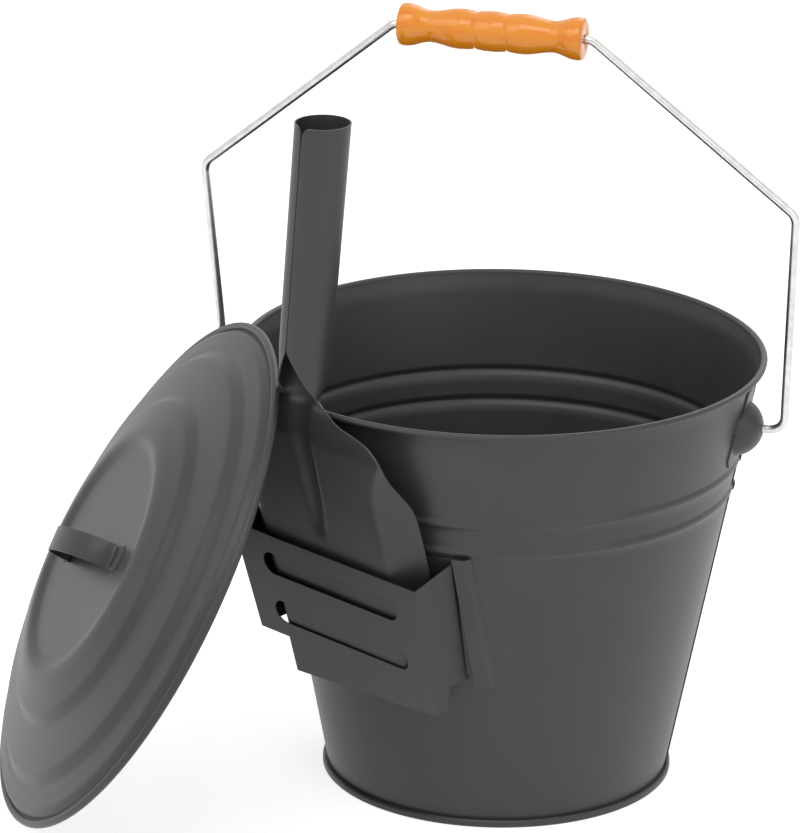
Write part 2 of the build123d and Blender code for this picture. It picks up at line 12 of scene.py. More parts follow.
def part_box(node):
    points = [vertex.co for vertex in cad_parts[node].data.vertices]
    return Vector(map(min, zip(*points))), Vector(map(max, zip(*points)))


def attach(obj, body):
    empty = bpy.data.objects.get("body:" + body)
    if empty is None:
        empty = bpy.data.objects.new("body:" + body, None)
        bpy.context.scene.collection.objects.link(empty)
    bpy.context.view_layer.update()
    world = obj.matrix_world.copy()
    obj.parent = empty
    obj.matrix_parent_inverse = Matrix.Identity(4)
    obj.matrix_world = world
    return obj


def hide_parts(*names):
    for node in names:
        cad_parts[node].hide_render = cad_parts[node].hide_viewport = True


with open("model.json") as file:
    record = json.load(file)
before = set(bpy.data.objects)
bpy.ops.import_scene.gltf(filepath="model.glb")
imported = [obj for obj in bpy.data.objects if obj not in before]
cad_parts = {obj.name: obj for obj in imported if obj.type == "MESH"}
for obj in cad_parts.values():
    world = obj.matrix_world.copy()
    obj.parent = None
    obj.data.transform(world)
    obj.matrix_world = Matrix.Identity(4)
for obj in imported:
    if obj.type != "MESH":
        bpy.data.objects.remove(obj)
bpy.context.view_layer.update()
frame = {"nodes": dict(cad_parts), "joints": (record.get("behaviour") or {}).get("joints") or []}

MM = 0.001
SHEET = 0.8
MERGE_REACH = 0.02 * MM
BUMP_DEPTH = 0.2 * MM
log = logging.getLogger("ash_bucket")

Pair = tuple[float, float]
Triple = tuple[float, float, float]
Colour = Triple
Piece = bpy.types.Object
Material = bpy.types.Material
Tree = bpy.types.NodeTree
Node = bpy.types.Node
Socket = bpy.types.NodeSocket


class Body(Enum):
    """Bodies of the frame that pieces ride on."""

    BUCKET = "bucket"
    BAIL = "bail"
    GRIP = "grip"
    LID = "lid"
    SHOVEL = "shovel"


class Slot(Enum):
    """Material slots of the record."""

    BUCKET = "bucket_paint"
    POCKET = "pocket_paint"
    SHOVEL = "shovel_paint"
    LID = "lid_paint"
    WIRE = "bail_steel"
    WOOD = "grip_wood"


def smooth_line(points: list[Pair], per_span: int = 4) -> list[Pair]:
    """Run a smooth curve through points in a plane.

    Args:
        points: the points that the curve passes, in order.
        per_span: how many steps the curve takes between two points.

    Returns:
        The points of the curve, ends included.
    """
    padded = [points[0], *points, points[-1]]
    line: list[Pair] = []
    for p0, p1, p2, p3 in zip(padded, padded[1:], padded[2:], padded[3:]):
        for step in range(per_span):
            t = step / per_span
            a, b = 2 * t**3 - 3 * t**2 + 1, t**3 - 2 * t**2 + t
            c, d = -2 * t**3 + 3 * t**2, t**3 - t**2
            line.append(tuple(
                a * p1[i] + b * (p2[i] - p0[i]) / 2 + c * p2[i] + d * (p3[i] - p1[i]) / 2
                for i in range(2)
            ))
    line.append(points[-1])
    return line


def arc_points(centre: Pair, radius: float, start: float, end: float, steps: int) -> list[Pair]:
    """Take points along an arc in a plane.

    Args:
        centre: the arc's centre.
        radius: its radius.
        start: the angle of its first point in degrees.
        end: the angle of its last point in degrees.
        steps: how many steps it takes.

    Returns:
        The points, both ends included.
    """
    angles = [math.radians(start + (end - start) * step / steps) for step in range(steps + 1)]
    return [(centre[0] + radius * math.cos(a), centre[1] + radius * math.sin(a)) for a in angles]


def deselect_all() -> None:
    """Leave edit mode and clear the selection."""
    if bpy.context.object and bpy.context.object.mode != "OBJECT":
        bpy.ops.object.mode_set(mode="OBJECT")
    bpy.ops.object.select_all(action="DESELECT")


def only(piece: Piece) -> Piece:
    """Make a piece the only selected and active object.

    Args:
        piece: the piece to select.

    Returns:
        The same piece.
    """
    deselect_all()
    piece.select_set(True)
    bpy.context.view_layer.objects.active = piece
    return piece


def draw_chain(points: list[Vector]) -> None:
    """Draw a chain of edges in edit mode by extruding one new vertex along points.

    Args:
        points: the chain's points in millimetres.
    """
    bpy.ops.mesh.select_all(action="DESELECT")
    bpy.ops.mesh.primitive_plane_add(size=MM)
    bpy.ops.mesh.merge(type="CENTER")
    bpy.ops.transform.translate(value=points[0] * MM)
    for here, there in zip(points, points[1:]):
        move = (there - here) * MM
        bpy.ops.mesh.extrude_vertices_move(TRANSFORM_OT_translate={"value": move})


def drawn_piece(name: str, chains: list[list[Vector]]) -> Piece:
    """Start a piece from chains of edges.

    Args:
        name: the piece's name.
        chains: the points of each chain in millimetres.

    Returns:
        The piece, left in edit mode with all of it selected.
    """
    deselect_all()
    bpy.ops.mesh.primitive_plane_add(size=MM)
    piece = bpy.context.object
    piece.name = name
    bpy.ops.object.mode_set(mode="EDIT")
    bpy.ops.mesh.select_all(action="SELECT")
    bpy.ops.mesh.delete(type="VERT")
    for points in chains:
        draw_chain(points)
    bpy.ops.mesh.select_all(action="SELECT")
    return piece


def drawn_line(name: str, points: list[Pair]) -> Piece:
    """Draw one line of (x, z) points in the XZ plane, left in edit mode and selected."""
    return drawn_piece(name, [[Vector((x, 0.0, z)) for x, z in points]])


def bridge_levels(piece: Piece, levels: list[float]) -> None:
    """Bridge flat chains, each to the next one up.

    Args:
        piece: the piece that holds the chains.
        levels: the chains' heights in millimetres, from the lowest.
    """
    for low, high in zip(levels, levels[1:]):
        only(piece)
        marked = set()
        for vertex in piece.data.vertices:
            away = min(abs(vertex.co.z - level * MM) for level in (low, high))
            vertex.select = away < MERGE_REACH
            if vertex.select:
                marked.add(vertex.index)
        for edge in piece.data.edges:
            edge.select = marked.issuperset(edge.vertices)
        bpy.ops.object.mode_set(mode="EDIT")
        bpy.ops.mesh.bridge_edge_loops()
        bpy.ops.mesh.select_all(action="DESELECT")
    deselect_all()


def turned_piece(name: str, points: list[Pair], steps: int) -> Piece:
    """Spin a line about Z into a closed or open surface.

    Args:
        name: the piece's name.
        points: (radius, height) points in millimetres.
        steps: how many faces go round.

    Returns:
        The piece in object mode, with merged seam and outward normals.
    """
    piece = drawn_line(name, points)
    bpy.ops.mesh.spin(steps=steps, angle=2 * math.pi, center=(0, 0, 0), axis=(0, 0, 1))
    bpy.ops.mesh.select_all(action="SELECT")
    bpy.ops.mesh.remove_doubles(threshold=MERGE_REACH)
    bpy.ops.mesh.normals_make_consistent(inside=False)
    bpy.ops.object.mode_set(mode="OBJECT")
    return piece


def apply_modifier(piece: Piece, kind: str, **values: object) -> None:
    """Add a modifier and apply it.

    Args:
        piece: the piece to change.
        kind: the modifier's type.
        **values: the modifier's properties.
    """
    only(piece)
    modifier = piece.modifiers.new(kind.lower(), kind)
    for key, value in values.items():
        setattr(modifier, key, value)
    bpy.ops.object.modifier_apply(modifier=modifier.name)


def thicken(piece: Piece, thickness: float) -> None:
    """Give a sheet its thickness in millimetres, half to each side."""
    apply_modifier(piece, "SOLIDIFY", thickness=thickness * MM, offset=0.0, use_even_offset=True)


def place(piece: Piece, matrix: Matrix) -> None:
    """Move a finished piece to its place and keep its object at the origin.

    Args:
        piece: the piece, modelled about the origin.
        matrix: where it goes.
    """
    only(piece)
    piece.matrix_world = matrix
    bpy.ops.object.transform_apply(location=True, rotation=True, scale=True)


def soften(piece: Piece, degrees: float = 40.0) -> None:
    """Shade smooth, with creases kept past an angle."""
    only(piece)
    bpy.ops.object.shade_smooth_by_angle(angle=math.radians(degrees))


def settle(piece: Piece, body: Body, slot: Slot, finish: Material, *nodes: str) -> None:
    """Dress a new piece, join it to its body and let it stand for CAD nodes.

    Args:
        piece: the finished piece.
        body: the body that it rides on.
        slot: the record's slot of its finish; not used.
        finish: its material.
        nodes: the CAD nodes that it replaces.
    """
    piece.data.materials.clear()
    piece.data.materials.append(finish)
    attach(piece, body.value)
    if nodes:
        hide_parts(*nodes)
    log.info("%s rides on %s, %d faces", piece.name, body.value, len(piece.data.polygons))


def dress_node(name: str, finish: Material) -> None:
    """Give a carried-over CAD node its finish.

    Args:
        name: the node's name.
        finish: its material.
    """
    node = frame["nodes"][name]
    if not node.material_slots:
        node.data.materials.append(finish)
    for holder in node.material_slots:
        holder.material = finish
    log.info("%s keeps its shape, finish %s", name, finish.name)


def new_group(name: str, inputs: dict[str, float], outputs: dict[str, str]) -> Tree:
    """Start a shader node group.

    Args:
        name: the group's name.
        inputs: names and values of its number inputs.
        outputs: names and socket types of its outputs.

    Returns:
        The group with its input and output nodes.
    """
    tree = bpy.data.node_groups.new(name, "ShaderNodeTree")
    for label, value in inputs.items():
        socket = tree.interface.new_socket(name=label, in_out="INPUT", socket_type="NodeSocketFloat")
        socket.default_value = value
    for label, kind in outputs.items():
        tree.interface.new_socket(name=label, in_out="OUTPUT", socket_type=kind)
    tree.nodes.new("NodeGroupInput")
    tree.nodes.new("NodeGroupOutput")
    return tree


def node_in(tree: Tree, kind: str, **values: object) -> Node:
    """Add a node to a tree.

    Args:
        tree: the tree to add to.
        kind: the node's type.
        **values: its properties, and its inputs as in_NAME.

    Returns:
        The node.
    """
    node = tree.nodes.new(kind)
    for key, value in values.items():
        if key.startswith("in_"):
            node.inputs[key[3:].replace("_", " ")].default_value = value
        else:
            setattr(node, key, value)
    return node


def noise_in(tree: Tree, vector: Socket, scale: float | Socket, detail: float) -> Node:
    """Add a noise texture.

    Args:
        tree: the tree to add to.
        vector: the coordinates that it reads.
        scale: its scale, or the socket that gives it.
        detail: its detail.

    Returns:
        The texture node.
    """
    noise = node_in(tree, "ShaderNodeTexNoise", in_Detail=detail, in_Roughness=0.6)
    if isinstance(scale, Socket):
        tree.links.new(scale, noise.inputs["Scale"])
    else:
        noise.inputs["Scale"].default_value = scale
    tree.links.new(vector, noise.inputs["Vector"])
    return noise


def maths_in(tree: Tree, operation: str, *terms: float | Socket) -> Node:
    """Add a math node.

    Args:
        tree: the tree to add to.
        operation: what it computes.
        *terms: its inputs in order, as numbers or sockets.

    Returns:
        The math node.
    """
    sums = node_in(tree, "ShaderNodeMath", operation=operation)
    for entry, term in zip(sums.inputs, terms):
        if isinstance(term, Socket):
            tree.links.new(term, entry)
        else:
            entry.default_value = term
    return sums


def colour_from(tree: Tree, mask: Socket, stops: list[tuple[float, Colour]], shader: Node) -> None:
    """Colour a shader by a ramp.

    Args:
        tree: the material's tree.
        mask: what drives the ramp.
        stops: positions and colours, the first and the last one outermost.
        shader: the Principled shader.
    """
    ramp = tree.nodes.new("ShaderNodeValToRGB")
    for index in (0, -1):
        element = ramp.color_ramp.elements[index]
        element.position = stops[index][0]
        element.color = (*stops[index][1], 1)
    for position, colour in stops[1:-1]:
        ramp.color_ramp.elements.new(position).color = (*colour, 1)
    tree.links.new(mask, ramp.inputs["Fac"])
    tree.links.new(ramp.outputs["Color"], shader.inputs["Base Color"])


def bump_from(tree: Tree, height: Socket, strength: float, shader: Node) -> None:
    """Roughen a shader's surface.

    Args:
        tree: the material's tree.
        height: the pattern's height.
        strength: how strongly it shows.
        shader: the Principled shader.
    """
    bump = node_in(tree, "ShaderNodeBump", in_Strength=strength, in_Distance=BUMP_DEPTH)
    tree.links.new(height, bump.inputs["Height"])
    tree.links.new(bump.outputs["Normal"], shader.inputs["Normal"])


def new_material(name: str) -> tuple[Material, Tree, Node]:
    """Start a material.

    Args:
        name: the material's name.

    Returns:
        The material, its tree and its Principled shader.
    """
    material = bpy.data.materials.new(name)
    material.use_nodes = True
    return material, material.node_tree, material.node_tree.nodes["Principled BSDF"]


class SurfaceGroups:
    """Shader node groups that several finishes share."""

    speck_scale: float = 330.0
    speck_edge: Pair = (0.10, 0.04)
    sparse_scale: float = 60.0
    sparse_above: float = 0.62
    gloss_spread: float = 0.10
    pore_scale: float = 1400.0

    def __init__(self) -> None:
        """Build each group once."""
        self.coating = self.build_coating()
        self.streaks = self.build_streaks()

    def build_coating(self) -> Tree:
        """Baked powder paint: fine orange peel, faint clouds and rare dust specks.

        Returns:
            A group with Tone, Gloss and Height outputs for tint, roughness and bump.
        """
        inputs = {"Peel Scale": 900.0, "Cloud Scale": 14.0, "Dust": 0.2}
        outputs = dict.fromkeys(("Tone", "Gloss", "Height"), "NodeSocketFloat")
        tree = new_group("baked_coating", inputs, outputs)
        entry, end = tree.nodes["Group Input"], tree.nodes["Group Output"]
        coords = tree.nodes.new("ShaderNodeTexCoord").outputs["Object"]
        cloud = noise_in(tree, coords, entry.outputs["Cloud Scale"], 3.0)
        peel = noise_in(tree, coords, entry.outputs["Peel Scale"], 2.0)
        specks = node_in(tree, "ShaderNodeTexVoronoi", in_Scale=self.speck_scale)
        tree.links.new(coords, specks.inputs["Vector"])
        speck_mask = node_in(tree, "ShaderNodeMapRange")
        speck_mask.inputs["From Min"].default_value = self.speck_edge[0]
        speck_mask.inputs["From Max"].default_value = self.speck_edge[1]
        tree.links.new(specks.outputs["Distance"], speck_mask.inputs["Value"])
        sparse = noise_in(tree, coords, self.sparse_scale, 1.0)
        few = maths_in(tree, "GREATER_THAN", sparse.outputs["Fac"], self.sparse_above)
        dust = maths_in(tree, "MULTIPLY", speck_mask.outputs["Result"], few.outputs["Value"])
        amount = maths_in(tree, "MULTIPLY", dust.outputs["Value"], entry.outputs["Dust"])
        tone = maths_in(tree, "ADD", cloud.outputs["Fac"], amount.outputs["Value"])
        tone.use_clamp = True
        shift = -self.gloss_spread / 2
        gloss = maths_in(tree, "MULTIPLY_ADD", cloud.outputs["Fac"], self.gloss_spread, shift)
        tree.links.new(tone.outputs["Value"], end.inputs["Tone"])
        tree.links.new(gloss.outputs["Value"], end.inputs["Gloss"])
        tree.links.new(peel.outputs["Fac"], end.inputs["Height"])
        return tree

    def build_streaks(self) -> Tree:
        """Long streaks along X, for drawn wire and for wood grain.

        Returns:
            A group with Lines, Pores and Height outputs.
        """
        inputs = {"Stretch": 0.06, "Line Scale": 260.0}
        outputs = dict.fromkeys(("Lines", "Pores", "Height"), "NodeSocketFloat")
        tree = new_group("long_streaks", inputs, outputs)
        entry, end = tree.nodes["Group Input"], tree.nodes["Group Output"]
        coords = tree.nodes.new("ShaderNodeTexCoord").outputs["Object"]
        scale = node_in(tree, "ShaderNodeCombineXYZ", in_Y=1.0, in_Z=1.0)
        tree.links.new(entry.outputs["Stretch"], scale.inputs["X"])
        stretch = node_in(tree, "ShaderNodeVectorMath", operation="MULTIPLY")
        tree.links.new(coords, stretch.inputs[0])
        tree.links.new(scale.outputs["Vector"], stretch.inputs[1])
        lines = noise_in(tree, stretch.outputs["Vector"], entry.outputs["Line Scale"], 4.0)
        pores = noise_in(tree, stretch.outputs["Vector"], self.pore_scale, 2.0)
        tree.links.new(lines.outputs["Fac"], end.inputs["Lines"])
        tree.links.new(pores.outputs["Fac"], end.inputs["Pores"])
        tree.links.new(lines.outputs["Fac"], end.inputs["Height"])
        return tree


@dataclass(frozen=True)
class Paint:
    """Satin powder paint on sheet steel."""

    name: str
    dark: Colour
    light: Colour
    spread: Pair = (0.3, 0.75)
    roughness: float = 0.42
    peel_scale: float = 900.0
    peel_height: float = 0.10
    dust: float = 0.12

    def make(self, groups: SurfaceGroups) -> Material:
        """Build the paint's material.

        Args:
            groups: the shared node groups.

        Returns:
            The material.
        """
        material, tree, shader = new_material(self.name)
        coat = node_in(tree, "ShaderNodeGroup", node_tree=groups.coating)
        coat.inputs["Peel Scale"].default_value = self.peel_scale
        coat.inputs["Dust"].default_value = self.dust
        stops = list(zip(self.spread, (self.dark, self.light)))
        colour_from(tree, coat.outputs["Tone"], stops, shader)
        rough = maths_in(tree, "ADD", self.roughness, coat.outputs["Gloss"])
        tree.links.new(rough.outputs["Value"], shader.inputs["Roughness"])
        bump_from(tree, coat.outputs["Height"], self.peel_height, shader)
        return material


@dataclass(frozen=True)
class DrawnWire:
    """Bright steel wire with faint drawing lines."""

    name: str
    dark: Colour = (0.58, 0.57, 0.56)
    light: Colour = (0.74, 0.73, 0.71)
    spread: Pair = (0.3, 0.7)
    roughness: float = 0.30
    rough_spread: float = 0.15
    line_scale: float = 180.0
    line_height: float = 0.03

    def make(self, groups: SurfaceGroups) -> Material:
        """Build the wire's material.

        Args:
            groups: the shared node groups.

        Returns:
            The material.
        """
        material, tree, shader = new_material(self.name)
        shader.inputs["Metallic"].default_value = 1.0
        streaks = node_in(tree, "ShaderNodeGroup", node_tree=groups.streaks)
        streaks.inputs["Stretch"].default_value = 1.0
        streaks.inputs["Line Scale"].default_value = self.line_scale
        stops = list(zip(self.spread, (self.dark, self.light)))
        colour_from(tree, streaks.outputs["Lines"], stops, shader)
        base = self.roughness - self.rough_spread / 2
        rough = maths_in(tree, "MULTIPLY_ADD", streaks.outputs["Pores"], self.rough_spread, base)
        tree.links.new(rough.outputs["Value"], shader.inputs["Roughness"])
        bump_from(tree, streaks.outputs["Height"], self.line_height, shader)
        return material


@dataclass(frozen=True)
class LacqueredWood:
    """Orange stained wood under clear lacquer."""

    name: str
    dark: Colour = (0.96, 0.25, 0.006)
    middle: Colour = (1.0, 0.31, 0.008)
    light: Colour = (1.0, 0.37, 0.015)
    spread: Triple = (0.28, 0.45, 0.72)
    lacquer: float = 0.85
    lacquer_roughness: float = 0.07
    roughness: float = 0.5
    shine: float = 0.25
    grain_stretch: float = 0.09
    grain_scale: float = 300.0
    grain_height: float = 0.12

    def make(self, groups: SurfaceGroups) -> Material:
        """Build the wood's material.

        Args:
            groups: the shared node groups.

        Returns:
            The material.
        """
        material, tree, shader = new_material(self.name)
        shader.inputs["Coat Weight"].default_value = self.lacquer
        shader.inputs["Coat Roughness"].default_value = self.lacquer_roughness
        shader.inputs["Roughness"].default_value = self.roughness
        shader.inputs["Specular IOR Level"].default_value = self.shine
        streaks = node_in(tree, "ShaderNodeGroup", node_tree=groups.streaks)
        streaks.inputs["Stretch"].default_value = self.grain_stretch
        streaks.inputs["Line Scale"].default_value = self.grain_scale
        stops = list(zip(self.spread, (self.dark, self.middle, self.light)))
        colour_from(tree, streaks.outputs["Lines"], stops, shader)
        bump_from(tree, streaks.outputs["Height"], self.grain_height, shader)
        return material


@dataclass
class Bucket:
    """Conical shell with pressed ridges and a rolled rim, and the pieces fixed to it."""

    height: float = 260.0
    base_radius: float = 100.2
    slope: float = 0.195
    ridges: Pair = (182.0, 200.0)
    ridge_relief: float = 1.4
    ridge_half: float = 3.3
    roll_radius: float = 1.97
    roll_ring: float = 152.9
    roll_turn: Pair = (175.0, -170.0)
    roll_steps: int = 22
    foot_level: float = 0.4
    coarse_step: float = 6.0
    fine_step: float = 0.7
    fine_margin: float = 0.8
    ridge_power: float = 1.3
    steps: int = 160

    def wall_line(self) -> list[Pair]:
        """Follow the middle of the sheet from foot to rolled rim.

        Returns:
            The (radius, height) points in millimetres.
        """
        line: list[Pair] = []
        level = self.foot_level
        top = self.height - 2.0 * self.roll_radius
        while level < top:
            near = min(abs(level - ridge) for ridge in self.ridges)
            swell = 0.0
            if near < self.ridge_half:
                wave = math.cos(math.pi * near / self.ridge_half / 2)
                swell = self.ridge_relief * wave**self.ridge_power
            line.append((self.base_radius - SHEET / 2 + self.slope * level + swell, level))
            fine = near < self.ridge_half + self.fine_margin
            level += self.fine_step if fine else self.coarse_step
            for ridge in self.ridges:
                low = ridge - self.ridge_half
                if line[-1][1] < low < level:
                    level = low
        centre = (self.roll_ring, self.height - self.roll_radius)
        line.append((centre[0] - self.roll_radius + 0.1, top + 0.4))
        line += arc_points(centre, self.roll_radius - SHEET / 2, *self.roll_turn, self.roll_steps)
        return line

    def build(self, paint: Material) -> None:
        """Model the shell and dress the pieces fixed to it.

        Args:
            paint: the bucket's paint.
        """
        shell = turned_piece("bucket_shell", self.wall_line(), self.steps)
        thicken(shell, SHEET)
        soften(shell)
        settle(shell, Body.BUCKET, Slot.BUCKET, paint, "bucket_wall")
        fixed = ("foot_ring", "bucket_bottom", "side_seam", "ear_right", "ear_left", "pocket_bracket")
        for node in fixed:
            dress_node(node, paint)


@dataclass
class Lid:
    """Pressed lid with two steps, a raised crown and a sunk middle, and its strap."""

    radius: float = 159.95
    roll: float = 2.5
    roll_turn: Pair = (-150.0, 165.0)
    roll_steps: int = 22
    shoulder: Pair = (151.0, 5.5)
    steps: int = 160
    strap_width: float = 15.0
    strap_thick: float = 1.2
    strap_half: float = 38.0
    strap_foot: float = 10.5
    strap_rise: float = 23.0
    strap_tab: float = 5.0
    strap_turn: float = 18.5
    strap_edge: float = 0.25
    arch_steps: int = 32
    slot_room: Triple = (1.2, 1.4, 6.0)
    slot_shift: float = 0.5
    panel_rise: float = 27.6
    plane: Matrix = field(default_factory=Matrix)

    def sheet_line(self) -> list[Pair]:
        """Follow the middle of the lid's sheet from its rolled edge to its middle.

        Returns:
            The (radius, height) points in millimetres.
        """
        centre = (self.radius - self.roll, 0.0)
        edge = arc_points(centre, self.roll - SHEET / 2, *self.roll_turn, self.roll_steps)
        r, h = self.shoulder
        body = [
            (self.radius - 2 * self.roll - 0.4, 0.6), (r + 2.2, h - 2.9), (r + 0.8, h - 0.9),
            (r - 0.8, h), (r - 4.0, h + 0.7), (142.0, 7.4), (138.4, 7.9), (136.6, 8.7),
            (134.0, 10.8), (131.8, 12.7), (129.6, 13.7), (120.0, 15.9), (108.0, 18.4), (104.8, 19.2),
            (103.2, 20.1), (101.0, 21.9), (99.2, 23.5), (97.0, 24.6), (90.0, 26.6), (82.0, 29.1),
            (76.5, 30.2), (73.0, 30.0), (70.0, 28.9), (67.4, 27.9), (64.0, self.panel_rise),
            (52.0, self.panel_rise),
        ]
        return edge + smooth_line(body, 3) + [(20.0, self.panel_rise), (0.0, self.panel_rise)]

    def find_plane(self) -> Matrix:
        """Find the plane of the rolled edge from the wire ring that the frame holds.

        Returns:
            The plane's place and turn, its normal along Z.
        """
        points = np.array([v.co for v in frame["nodes"]["lid_edge_wire"].data.vertices])
        centre = (points.min(0) + points.max(0)) / 2
        normal = Vector(np.linalg.svd(points - points.mean(0), full_matrices=False)[2][2])
        if normal.z < 0:
            normal.negate()
        across = Vector((-normal.y, normal.x, 0)).normalized()
        along = normal.cross(across)
        turn = Matrix((across, along, normal)).transposed().to_4x4()
        return Matrix.Translation(centre) @ turn

    def cut_slots(self, shell: Piece) -> None:
        """Cut the two slots that the strap's ends go through.

        Args:
            shell: the lid's pan, still flat about the origin.
        """
        wide, deep, high = self.slot_room
        turn = Matrix.Rotation(math.radians(self.strap_turn), 4, "Z")
        for side in (-1, 1):
            deselect_all()
            bpy.ops.mesh.primitive_cube_add(size=1.0)
            cutter = bpy.context.object
            cutter.scale = ((self.strap_thick + wide) * MM, (self.strap_width + deep) * MM, high * MM)
            bpy.ops.object.transform_apply(scale=True)
            along = side * (self.strap_half + self.strap_foot + self.slot_shift)
            spot = Matrix.Translation((along * MM, 0, self.panel_rise * MM))
            cutter.matrix_world = turn @ spot
            only(shell)
            modifier = shell.modifiers.new("slot", "BOOLEAN")
            modifier.operation = "DIFFERENCE"
            modifier.object = cutter
            modifier.solver = "EXACT"
            bpy.ops.object.modifier_apply(modifier=modifier.name)
            bpy.data.objects.remove(cutter, do_unlink=True)

    def build_strap(self, paint: Material) -> None:
        """Model the arched strap, its flat feet and its ends folded under the panel.

        Args:
            paint: the lid's paint.
        """
        skin = SHEET / 2 + self.strap_thick / 2 + 0.1
        under, over = self.panel_rise - skin, self.panel_rise + skin
        half, end = self.strap_half, self.strap_half + self.strap_foot
        left = [
            (-end + self.strap_tab, under), (-end + 0.8, under), (-end + 0.1, under + 0.5),
            (-end, self.panel_rise), (-end + 0.1, over - 0.6), (-end + 0.9, over),
            (-half - 2.6, over), (-half - 1.2, over + 0.2), (-half - 0.3, over + 1.2),
        ]
        arch = []
        for step in range(1, self.arch_steps):
            angle = math.pi * step / self.arch_steps
            arch.append((-half * math.cos(angle), over + self.strap_rise * math.sin(angle)))
        line = left + arch + [(-x, z) for x, z in left[::-1]]
        strap = drawn_line("lid_strap_arch", line)
        width = self.strap_width * MM
        bpy.ops.transform.translate(value=(0, -width / 2, 0))
        bpy.ops.mesh.extrude_region_move(TRANSFORM_OT_translate={"value": (0, width, 0)})
        bpy.ops.mesh.select_all(action="SELECT")
        bpy.ops.mesh.normals_make_consistent(inside=False)
        bpy.ops.object.mode_set(mode="OBJECT")
        thicken(strap, self.strap_thick)
        edge = self.strap_edge * MM
        apply_modifier(strap, "BEVEL", width=edge, segments=2, angle_limit=math.radians(50))
        place(strap, self.plane @ Matrix.Rotation(math.radians(self.strap_turn), 4, "Z"))
        soften(strap, 50)
        settle(strap, Body.LID, Slot.LID, paint, "lid_strap")

    def build(self, paint: Material) -> None:
        """Model the pan and its strap where the frame's lid leans.

        Args:
            paint: the lid's paint.
        """
        self.plane = self.find_plane()
        pan = turned_piece("lid_shell", self.sheet_line(), self.steps)
        thicken(pan, SHEET)
        self.cut_slots(pan)
        place(pan, self.plane)
        soften(pan)
        settle(pan, Body.LID, Slot.LID, paint, "lid_pan")
        self.build_strap(paint)


@dataclass
class Grip:
    """Turned wooden grip on the bail's top run."""

    length: float = 108.4
    bore: float = 2.8
    chamfer: float = 0.6
    steps: int = 72

    def outline(self) -> list[Pair]:
        """Draw the closed section that turns round the wire.

        Returns:
            The (radius, along) points in millimetres.
        """
        half = self.length / 2
        right = [
            (0.0, 11.65), (4.0, 11.55), (7.4, 11.15), (8.8, 10.75), (9.4, 10.5), (10.0, 10.75),
            (11.6, 11.2), (15.0, 11.55), (19.0, 11.65), (23.5, 11.25), (28.5, 10.25), (33.0, 9.4),
            (36.5, 9.2), (40.0, 9.8), (43.5, 11.0), (46.5, 11.93), (49.5, 12.34),
            (half - 2.0, 12.26), (half - 0.6, 11.7), (half, 10.6),
        ]
        whole = [(-along, radius) for along, radius in right[:0:-1]] + right
        skin = [(radius, along) for along, radius in smooth_line(whole, 3)]
        ends = [(self.bore + self.chamfer, half), (self.bore, half - self.chamfer)]
        starts = [(self.bore, -half + self.chamfer), (self.bore + self.chamfer, -half)]
        return starts + skin + ends + [starts[0]]

    def build(self, wood: Material) -> None:
        """Model the grip round the wire, where the frame's grip is.

        Args:
            wood: the grip's finish.
        """
        low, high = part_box("bail_grip")
        middle = (low + high) / 2
        grip = turned_piece("turned_grip", self.outline(), self.steps)
        place(grip, Matrix.Translation(middle) @ Matrix.Rotation(math.radians(90), 4, "Y"))
        soften(grip, 50)
        settle(grip, Body.GRIP, Slot.WOOD, wood, "bail_grip")


@dataclass(frozen=True)
class Station:
    """Section of the shovel at a height, from its back outwards.

    Where sweep is given it is an oval arc of a half width and a half depth. Otherwise it is a
    groove between flat floors whose outer strips bend back to the bucket.
    """

    height: float
    back: float
    half: float
    sweep: float = 0.0
    deep: float = 0.0
    groove: float = 0.0
    floor: float = 0.0
    side: float = 0.0


